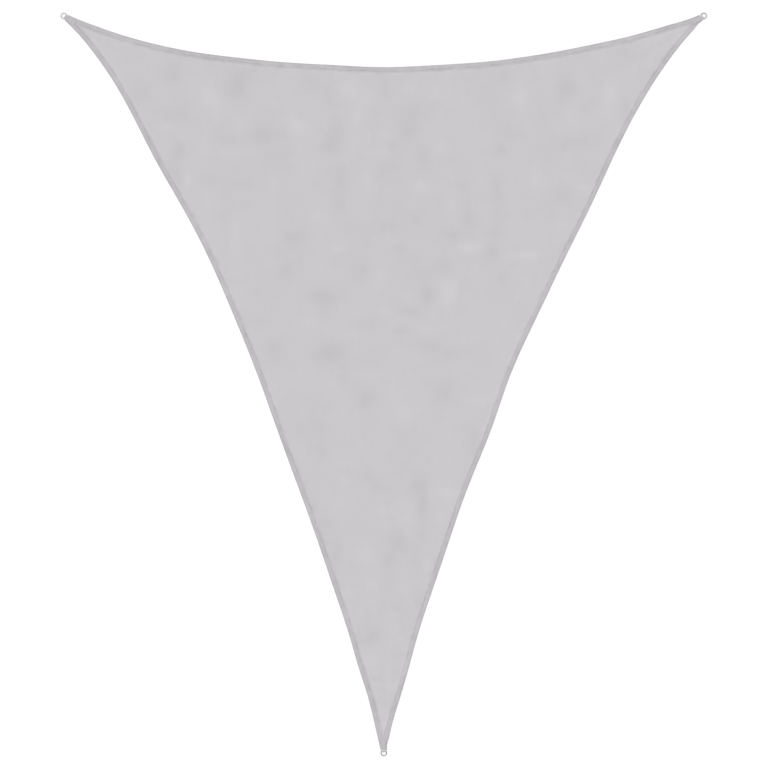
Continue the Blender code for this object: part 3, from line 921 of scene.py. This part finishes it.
def build_hem_row(sail, name, inset_at, finish):
    """One row of stitches round all three hems, inset_at(hem, arc) inside the edge."""
    starts, ends = [], []
    for hem in HEMS:
        side = sail.sides[hem]
        above = HEMS[: HEMS.index(hem)]
        arcs = side.stations(STITCH_PITCH)
        first = side.at(arcs, inset_at(hem, arcs))
        last = side.at(arcs + STITCH_LENGTH, inset_at(hem, arcs + STITCH_LENGTH))
        keep = arcs < side.length - STITCH_PITCH
        for points in (first, last):
            places = sail.survey(points)
            for other in sail.sides:
                if other != hem:
                    limit = HEM_FOOT if other in above else ROW_END_GAP
                    keep &= places[other][1] > limit
            keep &= ~under_strap(sail.corners, points)
        starts.append(first[keep])
        ends.append(last[keep])
    starts, ends = (
        np.column_stack([points, sail.faces(points)[1]])
        for points in (np.vstack(starts), np.vstack(ends))
    )
    return stitch_mesh(name, starts, ends, THREAD_RADIUS, STITCH_ARCH, finish)


# ---- Loops of webbing ----


def strap_path():
    """The strap's middle line, seen from its side: out from the bar, and up."""
    counts = STRAP_PATH_POINTS
    half = STRAP_THICKNESS / 2
    fold = STRAP_INNER_RADIUS + half
    lower = [(u, half) for u in np.linspace(-STRAP_LEG, 0, counts["lower"])]
    turn = [
        (fold * math.cos(a), BAR_HEIGHT + fold * math.sin(a))
        for a in np.linspace(-math.pi / 2, math.pi / 2, counts["turn"])[1:]
    ]
    high = BAR_HEIGHT + fold
    low = UPPER_LEG_HEIGHT + half
    closing = [
        (-STRAP_CLOSING * s, high + (low - high) * float(smooth_step(s)))
        for s in np.linspace(0, 1, counts["closing"])[1:]
    ]
    upper = [(u, low) for u in np.linspace(-STRAP_CLOSING, -STRAP_LEG, counts["upper"])[1:]]
    return np.array(lower + turn + closing + upper)


def sewn_lines():
    """The lines sewn on a loop's upper leg, as pairs of (out, across) points: a box with its cross,
    and a tack of two rows beside the bar."""
    w = BOX_HALF_WIDTH
    lines = [
        ((BOX_NEAR, -w), (BOX_FAR, -w)),
        ((BOX_FAR, -w), (BOX_FAR, w)),
        ((BOX_FAR, w), (BOX_NEAR, w)),
        ((BOX_NEAR, w), (BOX_NEAR, -w)),
        ((BOX_NEAR, -w), (BOX_FAR, w)),
        ((BOX_NEAR, w), (BOX_FAR, -w)),
    ]
    lines += [((u, -w), (u, w)) for u in TACK_PLACES]
    return [(np.array(a), np.array(b)) for a, b in lines]


def distance_to_lines(points, lines):
    nearest = np.full(len(points), np.inf)
    for a, b in lines:
        along = b - a
        share = np.clip((points - a) @ along / (along @ along), 0, 1)
        foot = a + share[:, None] * along
        nearest = np.minimum(nearest, np.linalg.norm(points - foot, axis=1))
    return nearest


def strap_section():
    """Half the strap's section: places across it, and how thick the strap is there (0 to 1)."""
    half = STRAP_WIDTH / 2
    edge = half - STRAP_EDGE_RADIUS
    middle = np.linspace(-edge, edge, STRAP_ACROSS_POINTS)
    turns = np.radians(STRAP_EDGE_TURNS)
    right = edge + STRAP_EDGE_RADIUS * np.cos(turns)
    thick_right = STRAP_EDGE_SHARE + (1 - STRAP_EDGE_SHARE) * np.sin(turns)
    across = np.concatenate([-right, middle, right[::-1]])
    thick = np.concatenate([thick_right, np.ones(len(middle)), thick_right[::-1]])
    return across, thick


def corner_matrix(c):
    """Places a piece made along +X from the ring's bar at its corner."""
    turn = math.atan2(c.out[1], c.out[0])
    return Matrix.Translation((c.bar[0], c.bar[1], 0)) @ Matrix.Rotation(turn, 4, "Z")


def build_strap(c, number, finish):
    """A strap folded round the ring's bar, its two legs over and under the cloth's corner."""
    path = strap_path()
    ahead = unit(np.gradient(path, axis=0))
    outward = np.stack([ahead[:, 1], -ahead[:, 0]], axis=1)
    arc = arc_lengths(path)

    across, thick = strap_section()
    count = len(across)
    lines = sewn_lines()
    upper_start = STRAP_LEG + math.pi * (STRAP_INNER_RADIUS + STRAP_THICKNESS / 2)
    from_cut = smooth_step(np.minimum(arc, arc[-1] - arc) / STRAP_CUT_SPAN)
    end_taper = STRAP_CUT_SHARE + (1 - STRAP_CUT_SHARE) * from_cut
    bead = STRAP_BEAD * hump(abs(across) - STRAP_WIDTH / 2 + STRAP_BEAD_INSET, STRAP_BEAD_WIDTH)

    vertices, weave = [], []
    for i, (place, normal) in enumerate(zip(path, outward)):
        half = STRAP_THICKNESS / 2 * thick * end_taper[i]
        outer = half + bead
        if arc[i] > upper_start:
            spots = np.column_stack([np.full(count, place[0]), across])
            outer -= STRAP_DIP * hump(distance_to_lines(spots, lines), STRAP_DIP_WIDTH)
        for y, height in zip(across, outer):
            vertices.append((place[0] + normal[0] * height, y, place[1] + normal[1] * height))
            weave.append((arc[i], y))
        for y, height in zip(across[::-1], half[::-1]):
            vertices.append((place[0] - normal[0] * height, y, place[1] - normal[1] * height))
            weave.append((arc[i], y + STRAP_WIDTH))
    ring = 2 * count
    faces = band_faces(len(path), ring)
    last = (len(path) - 1) * ring
    for j in range(count - 1):
        faces.append((j, ring - 1 - j, ring - 2 - j, j + 1))
        faces.append((last + j, last + j + 1, last + ring - 2 - j, last + ring - 1 - j))
    piece = new_piece(f"loop_{c.name}_woven", vertices, faces, finish)
    add_values(piece, "weave", np.array(weave) + (STRAP_WEAVE_SHIFT * number, 0))
    piece.data.transform(corner_matrix(c))
    return piece


def build_strap_sewing(c, finish):
    """The stitches on a loop's upper leg."""
    height = UPPER_LEG_HEIGHT + STRAP_THICKNESS - STRAP_DIP
    starts, ends = [], []
    for a, b in sewn_lines():
        length = np.linalg.norm(b - a)
        count = max(1, round(length / STRAP_SEW_PITCH))
        shares = (np.arange(count) + 0.5) / count
        reach = STRAP_SEW_LENGTH / length / 2
        for share in shares:
            starts.append((*(a + (b - a) * (share - reach)), height))
            ends.append((*(a + (b - a) * (share + reach)), height))
    starts, ends = np.array(starts), np.array(ends)
    piece = stitch_mesh(
        f"sewing_{c.name}", starts, ends, STRAP_THREAD_RADIUS, STRAP_SEW_ARCH, finish
    )
    piece.data.transform(corner_matrix(c))
    return piece


# ---- Rings ----


def ring_path():
    """The ring's centreline: the bar along Y at X = 0, and the bow out along +X."""
    counts = RING_PATH_POINTS
    bend_y = RING_HALF_WIDTH - RING_BEND
    bend = [
        (RING_BEND + RING_BEND * math.cos(a), bend_y + RING_BEND * math.sin(a))
        for a in np.linspace(math.pi, math.pi / 2, counts["bend"])
    ]
    side = [(x, RING_HALF_WIDTH) for x in np.linspace(RING_BEND, BOW_CENTRE, counts["side"])[1:-1]]
    bow = [
        (BOW_CENTRE + RING_HALF_WIDTH * math.cos(a), RING_HALF_WIDTH * math.sin(a))
        for a in np.linspace(math.pi / 2, 0, counts["bow"])
    ]
    half = bend + side + bow
    mirrored = [(x, -y) for x, y in half[-2::-1]]
    bar = [(0, y) for y in np.linspace(-bend_y, bend_y, counts["bar"])[1:-1]]
    return np.array(half + mirrored + bar)


def build_ring(c, finish):
    """A D-ring of round wire."""
    path = ring_path()
    ahead = unit(np.roll(path, -1, axis=0) - np.roll(path, 1, axis=0))
    beside = np.stack([ahead[:, 1], -ahead[:, 0]], axis=1)
    vertices, grain = [], []
    for place, out, reach in zip(path, beside, arc_lengths(path)):
        for k in range(RING_SIDES):
            angle = math.tau * k / RING_SIDES - math.pi / 2
            level = place + out * WIRE_RADIUS * math.cos(angle)
            vertices.append((level[0], level[1], WIRE_RADIUS * math.sin(angle)))
            grain.append((reach, WIRE_RADIUS * (angle + math.pi / 2)))
    faces = [face[::-1] for face in band_faces(len(path), RING_SIDES, closed=True)]
    piece = new_piece(f"ring_{c.name}_bent", vertices, faces, finish)
    add_values(piece, "weave", np.array(grain))
    tilt = Matrix.Translation((0, 0, BAR_HEIGHT)) @ Matrix.Rotation(RING_TILT, 4, "Y")
    piece.data.transform(corner_matrix(c) @ tilt)
    return piece


# ---- Materials ----


class Nodes:
    """Short ways to add and link the nodes of one material."""

    def __init__(self, name):
        self.material = bpy.data.materials.new(name)
        self.material.use_nodes = True
        self.tree = self.material.node_tree
        self.shader = self.tree.nodes["Principled BSDF"]

    def add(self, kind, **settings):
        node = self.tree.nodes.new(kind)
        for key, value in settings.items():
            setattr(node, key, value)
        return node

    def set(self, **values):
        """Sets the shader's inputs; a name's underscores stand for spaces."""
        for key, value in values.items():
            self.shader.inputs[key.replace("_", " ")].default_value = value

    def feed(self, socket, source):
        if hasattr(source, "is_output"):
            self.tree.links.new(source, socket)
        else:
            socket.default_value = source

    def math(self, operation, *sources):
        node = self.add("ShaderNodeMath", operation=operation)
        for socket, source in zip(node.inputs, sources):
            self.feed(socket, source)
        return node.outputs[0]

    def attribute(self, name, output):
        return self.add("ShaderNodeAttribute", attribute_name=name).outputs[output]

    def object_place(self):
        return self.add("ShaderNodeTexCoord").outputs["Object"]

    def parts(self, place):
        """The place's parts, x, y and z."""
        node = self.add("ShaderNodeSeparateXYZ")
        self.feed(node.inputs[0], place)
        return node.outputs

    def wave(self, place, pitch):
        """A sine that passes through 0 at each multiple of pitch."""
        return self.math("SINE", self.math("MULTIPLY", place, math.pi / pitch))

    def noise(self, place, rate, detail=2.0):
        """Noise, 0 to 1, with rate bumps in a metre, or a rate for each direction."""
        if isinstance(rate, tuple):
            mapping = self.add("ShaderNodeMapping")
            self.feed(mapping.inputs["Vector"], place)
            mapping.inputs["Scale"].default_value = rate
            place, rate = mapping.outputs[0], 1.0
        node = self.add("ShaderNodeTexNoise")
        self.feed(node.inputs["Vector"], place)
        node.inputs["Scale"].default_value = rate
        node.inputs["Detail"].default_value = detail
        return node.outputs["Fac"]

    def ranged(self, source, low, high):
        """source's 0 to 1 as low to high."""
        node = self.add("ShaderNodeMapRange", clamp=False)
        self.feed(node.inputs["Value"], source)
        node.inputs["To Min"].default_value = low
        node.inputs["To Max"].default_value = high
        return node.outputs[0]

    def tinted(self, colour, *shares):
        """colour times all the shares."""
        share = shares[0]
        for other in shares[1:]:
            share = self.math("MULTIPLY", share, other)
        node = self.add("ShaderNodeVectorMath", operation="SCALE")
        node.inputs[0].default_value = colour
        self.feed(node.inputs["Scale"], share)
        self.tree.links.new(node.outputs[0], self.shader.inputs["Base Color"])

    def bump(self, height, distance, strength, after=None):
        node = self.add("ShaderNodeBump")
        self.feed(node.inputs["Height"], height)
        node.inputs["Distance"].default_value = distance
        node.inputs["Strength"].default_value = strength
        if after is not None:
            self.tree.links.new(after, node.inputs["Normal"])
        return node.outputs[0]

    def finish_with(self, normal=None, roughness=None):
        if normal is not None:
            self.tree.links.new(normal, self.shader.inputs["Normal"])
        if roughness is not None:
            self.feed(self.shader.inputs["Roughness"], roughness)
        return self.material


def cloth_material():
    """Grey coated cloth: a fine plain weave with slubs and a faint sheen, as light as its tone says."""
    nodes = Nodes("sail_fabric_weave")
    place = nodes.attribute("weave", "Vector")
    # The tone carries painted shade on the hems and the painted light and shade of faint creases.
    tone = nodes.attribute("tone", "Fac")
    parts = nodes.parts(place)
    warp = nodes.wave(parts[0], WEAVE_PITCH)
    weft = nodes.wave(parts[1], WEAVE_PITCH)
    raised = nodes.math("ABSOLUTE", nodes.math("MULTIPLY", warp, weft))
    slub_warp = nodes.noise(place, (420, 22, 1))
    slub_weft = nodes.noise(place, (22, 420, 1))
    cloudy = nodes.noise(place, (24, 15, 1), detail=4.0)
    nodes.tinted(
        CLOTH_COLOUR,
        tone,
        nodes.ranged(raised, 0.985, 1.010),
        nodes.ranged(slub_warp, 0.985, 1.015),
        nodes.ranged(slub_weft, 0.988, 1.012),
        nodes.ranged(cloudy, 0.975, 1.025),
    )
    woven = nodes.bump(raised, 0.00012, 0.45)
    threads = nodes.math("ADD", slub_warp, slub_weft)
    normal = nodes.bump(threads, 0.00015, 0.35, after=woven)
    nodes.set(Sheen_Weight=0.08, Sheen_Roughness=0.5, Specular_IOR_Level=0.25)
    return nodes.finish_with(normal, nodes.ranged(cloudy, 0.78, 0.90))


def webbing_material():
    """Grey polyester webbing: lengthwise ribs crossed by slanting picks, a little worn and fuzzy."""
    nodes = Nodes("loop_webbing_weave")
    place = nodes.attribute("weave", "Vector")
    parts = nodes.parts(place)
    rib = nodes.math("ABSOLUTE", nodes.wave(parts[1], RIB_PITCH))
    number = nodes.math("FLOOR", nodes.math("MULTIPLY", parts[1], 1 / RIB_PITCH))
    slant = nodes.math("MULTIPLY", nodes.math("MODULO", number, 2.0), PICK_SLANT)
    shifted = nodes.math("ADD", parts[0], slant)
    pick = nodes.math("ABSOLUTE", nodes.wave(shifted, PICK_PITCH))
    woven = nodes.math("MULTIPLY", nodes.math("POWER", rib, 0.5), nodes.math("POWER", pick, 0.6))
    fuzz = nodes.noise(place, 900, detail=3.0)
    worn = nodes.noise(place, 60, detail=3.0)
    nodes.tinted(
        WEBBING_COLOUR,
        nodes.ranged(woven, 0.82, 1.03),
        nodes.ranged(fuzz, 0.96, 1.04),
        nodes.ranged(worn, 0.96, 1.03),
    )
    normal = nodes.bump(woven, 0.00035, 0.7)
    normal = nodes.bump(fuzz, 0.0001, 0.3, after=normal)
    nodes.set(Sheen_Weight=0.15, Sheen_Roughness=0.4)
    return nodes.finish_with(normal, nodes.ranged(worn, 0.62, 0.78))


def thread_material():
    """Grey polyester thread, a little darker than the cloth, with its ply's twist."""
    nodes = Nodes("sail_fabric_thread")
    place = nodes.object_place()
    strands = nodes.noise(place, 1800)
    uneven = nodes.noise(place, 40)
    nodes.tinted(
        THREAD_COLOUR, nodes.ranged(strands, 0.88, 1.08), nodes.ranged(uneven, 0.95, 1.05)
    )
    nodes.set(Specular_IOR_Level=0.5)
    return nodes.finish_with(nodes.bump(strands, 0.0001, 0.5), nodes.ranged(uneven, 0.45, 0.60))


def steel_material():
    """Drawn stainless wire: fine lines along it, faint smears and spots."""
    nodes = Nodes("ring_steel_drawn")
    place = nodes.attribute("weave", "Vector")
    lines = nodes.noise(place, (60, 5200, 1))
    smears = nodes.noise(place, 160, detail=3.0)
    spots = nodes.noise(nodes.object_place(), 700)
    nodes.tinted(
        STEEL_COLOUR,
        nodes.ranged(lines, 0.93, 1.05),
        nodes.ranged(smears, 0.92, 1.05),
        nodes.ranged(spots, 0.95, 1.03),
    )
    nodes.set(Metallic=1.0)
    normal = nodes.bump(lines, 0.00005, 0.35)
    rough = nodes.math("ADD", nodes.ranged(smears, 0.24, 0.38), nodes.ranged(lines, 0.04, 0.12))
    return nodes.finish_with(normal, rough)


def floor_material():
    """A white floor that glows a little, so that shadows on it stay faint."""
    nodes = Nodes("pale_floor")
    place = nodes.object_place()
    nodes.tinted(FLOOR_COLOUR, nodes.ranged(nodes.noise(place, 3.0), 0.99, 1.0))
    nodes.set(Emission_Color=(1, 1, 1, 1), Emission_Strength=FLOOR_GLOW)
    return nodes.finish_with(roughness=0.9)


# ---- Floor, light and camera ----


def build_floor():
    turns = ((-1, -1), (1, -1), (1, 1), (-1, 1))
    vertices = [(FLOOR_HALF_WIDTH * x, FLOOR_HALF_WIDTH * y, FLOOR_HEIGHT) for x, y in turns]
    floor = new_piece("floor", vertices, [(0, 1, 2, 3)], floor_material())


def build_light():
    """A soft white room, brighter towards the horizon, and one wide soft light from the upper left."""
    world = bpy.data.worlds.new("studio")
    bpy.context.scene.world = world
    world.use_nodes = True
    tree = world.node_tree
    background = tree.nodes["Background"]
    place = tree.nodes.new("ShaderNodeTexCoord")
    parts = tree.nodes.new("ShaderNodeSeparateXYZ")
    ramp = tree.nodes.new("ShaderNodeMapRange")
    tree.links.new(place.outputs["Generated"], parts.inputs[0])
    tree.links.new(parts.outputs[2], ramp.inputs["Value"])
    ramp.inputs["To Min"].default_value = ROOM_AT_HORIZON
    ramp.inputs["To Max"].default_value = ROOM_OVERHEAD
    tree.links.new(ramp.outputs[0], background.inputs["Strength"])
    background.inputs["Color"].default_value = ROOM_COLOUR

    lamp = bpy.data.lights.new("window", "SUN")
    lamp.energy = SUN_STRENGTH
    lamp.angle = SUN_WIDTH
    window = new_object("window", lamp)
    window.matrix_world = Matrix.Rotation(SUN_TURN, 4, "Z") @ Matrix.Rotation(SUN_TILT, 4, "Y")


def build_camera():
    """A camera that looks straight down on the sail, as the photograph does."""
    data = bpy.data.cameras.new("camera")
    data.lens = LENS_MM
    data.sensor_width = SENSOR_MM
    data.clip_end = 1000
    camera = new_object("camera", data)
    camera.location = (*FRAME_CENTRE, FRAME_WIDTH * LENS_MM / SENSOR_MM)
    bpy.context.scene.camera = camera
    bpy.context.scene.view_settings.view_transform = "Standard"


# ---- Everything together ----


def place_piece(piece, slot, *nodes):
    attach(piece, "root")
    if nodes:
        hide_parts(*nodes)


def main():
    corners = sail_corners()
    sail = Sail(corners)
    cloth = cloth_material()
    webbing = webbing_material()
    thread = thread_material()
    steel = steel_material()

    build_camera()
    build_light()
    build_floor()

    sheet = build_cloth(sail, cloth)
    place_piece(sheet, "sail_fabric", "sail_cloth")
    rows = [
        build_hem_row(sail, "hem_row_outer", lambda hem, arc: OUTER_ROW + 0 * arc, thread),
        build_hem_row(sail, "hem_row_inner", sail.inner_row, thread),
    ]
    for row in rows:
        place_piece(row, "sail_fabric")
    for number, c in enumerate(corners):
        strap = build_strap(c, number, webbing)
        place_piece(strap, "loop_webbing", f"loop_{c.name}")
        sewing = build_strap_sewing(c, thread)
        place_piece(sewing, "loop_webbing")
        place_piece(build_ring(c, steel), "ring_steel", f"ring_{c.name}")


main()
